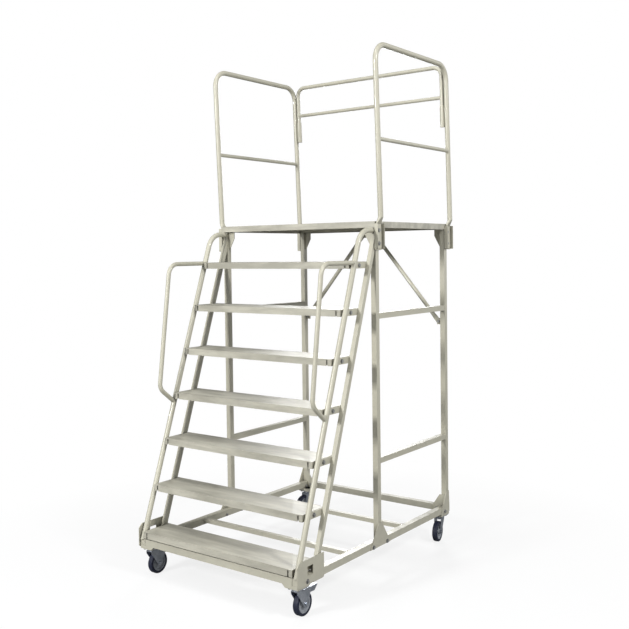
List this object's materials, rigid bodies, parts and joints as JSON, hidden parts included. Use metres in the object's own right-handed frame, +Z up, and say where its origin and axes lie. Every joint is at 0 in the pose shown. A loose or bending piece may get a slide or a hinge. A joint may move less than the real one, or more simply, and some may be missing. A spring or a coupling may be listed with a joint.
{
  "type": "mobile_ladder_stand",
  "caption": "Mobile ladder stand with a wide seven-step stair, handrails, a guarded platform, a lift-out rear guard and four swivel casters, two with brakes",
  "frame": {"origin": "Centre of the footprint's bounding box, on the floor under the wheels", "axes": "X across the stair (+X to the right as one climbs), Y from the bottom step to the back of the platform, Z up"},
  "size_m": [1.216, 1.614, 2.989],
  "materials": {
    "frame_paint": "satin",
    "step_paint": "satin",
    "zinc_steel": "satin",
    "wheel_grey": "matte",
    "tyre_rubber": "matte"
  },
  "bodies": {
    "root": {"base_side_rails": "frame_paint", "base_front_beam": "frame_paint", "base_rear_beam": "frame_paint", "base_cross_rails": "frame_paint", "front_corner_plates": "frame_paint", "caster_pads": "frame_paint", "front_legs": "frame_paint", "rear_legs": "frame_paint", "leg_foot_gussets": "frame_paint", "side_rails_upper": "frame_paint", "side_rails_lower": "frame_paint", "knee_brace_left": "frame_paint", "knee_brace_right": "frame_paint", "brace_lugs": "frame_paint", "platform_deck": "step_paint", "deck_stiffeners": "frame_paint", "platform_gussets": "frame_paint", "front_stringer_left": "frame_paint", "front_stringer_right": "frame_paint", "rear_stringers": "frame_paint", "step_1": "step_paint", "step_2": "step_paint", "step_3": "step_paint", "step_4": "step_paint", "step_5": "step_paint", "step_6": "step_paint", "step_7": "step_paint", "step_brackets": "frame_paint", "stair_handrail_left": "frame_paint", "stair_handrail_right": "frame_paint", "side_guard_left": "frame_paint", "side_guard_right": "frame_paint", "guard_mid_rails": "frame_paint", "guard_brackets": "frame_paint", "guard_sockets": "frame_paint", "step_bolts": "zinc_steel", "guard_bolts": "zinc_steel", "frame_bolts": "zinc_steel", "caster_bolts": "zinc_steel", "caster_plates": "zinc_steel"},
    "caster_front_left": {"caster_fork_front_left": "zinc_steel", "caster_axle_front_left": "zinc_steel"},
    "wheel_front_left": {"wheel_hub_front_left": "wheel_grey", "tyre_front_left": "tyre_rubber"},
    "caster_front_right": {"caster_fork_front_right": "zinc_steel", "caster_axle_front_right": "zinc_steel"},
    "wheel_front_right": {"wheel_hub_front_right": "wheel_grey", "tyre_front_right": "tyre_rubber"},
    "caster_rear_left": {"caster_fork_rear_left": "zinc_steel", "caster_axle_rear_left": "zinc_steel"},
    "wheel_rear_left": {"wheel_hub_rear_left": "wheel_grey", "tyre_rear_left": "tyre_rubber"},
    "caster_rear_right": {"caster_fork_rear_right": "zinc_steel", "caster_axle_rear_right": "zinc_steel"},
    "wheel_rear_right": {"wheel_hub_rear_right": "wheel_grey", "tyre_rear_right": "tyre_rubber"},
    "brake_left": {"brake_pedal_left": "zinc_steel"},
    "brake_right": {"brake_pedal_right": "zinc_steel"},
    "rear_guard_frame": {"rear_guard": "frame_paint", "rear_guard_mid_rail": "frame_paint"}
  },
  "joints": [
    {"name": "swivel_front_left", "type": "hinge", "parent": "root", "child": "caster_front_left", "pos_m": [-0.525, -0.747, 0.15], "axis": [0, 0, 1], "continuous": true},
    {"name": "roll_front_left", "type": "hinge", "parent": "caster_front_left", "child": "wheel_front_left", "pos_m": [-0.525, -0.709, 0.0625], "axis": [1, 0, 0], "continuous": true},
    {"name": "swivel_front_right", "type": "hinge", "parent": "root", "child": "caster_front_right", "pos_m": [0.525, -0.747, 0.15], "axis": [0, 0, 1], "continuous": true},
    {"name": "roll_front_right", "type": "hinge", "parent": "caster_front_right", "child": "wheel_front_right", "pos_m": [0.525, -0.709, 0.0625], "axis": [1, 0, 0], "continuous": true},
    {"name": "swivel_rear_left", "type": "hinge", "parent": "root", "child": "caster_rear_left", "pos_m": [-0.525, 0.725, 0.15], "axis": [0, 0, 1], "continuous": true},
    {"name": "roll_rear_left", "type": "hinge", "parent": "caster_rear_left", "child": "wheel_rear_left", "pos_m": [-0.53029, 0.68737, 0.0625], "axis": [0.9903, -0.1392, 0], "continuous": true},
    {"name": "swivel_rear_right", "type": "hinge", "parent": "root", "child": "caster_rear_right", "pos_m": [0.525, 0.725, 0.15], "axis": [0, 0, 1], "continuous": true},
    {"name": "roll_rear_right", "type": "hinge", "parent": "caster_rear_right", "child": "wheel_rear_right", "pos_m": [0.5316, 0.68758, 0.0625], "axis": [0.9848, 0.1736, 0], "continuous": true},
    {"name": "brake_left", "type": "hinge", "parent": "caster_front_left", "child": "brake_left", "pos_m": [-0.525, -0.679, 0.124], "axis": [1, 0, 0], "range_deg": [-18, 0]},
    {"name": "brake_right", "type": "hinge", "parent": "caster_front_right", "child": "brake_right", "pos_m": [0.525, -0.679, 0.124], "axis": [1, 0, 0], "range_deg": [-18, 0]},
    {"name": "rear_guard_lift", "type": "slide", "parent": "root", "child": "rear_guard_frame", "axis": [0, -0.0454, 0.999], "range_m": [0, 0.15]}
  ]
}
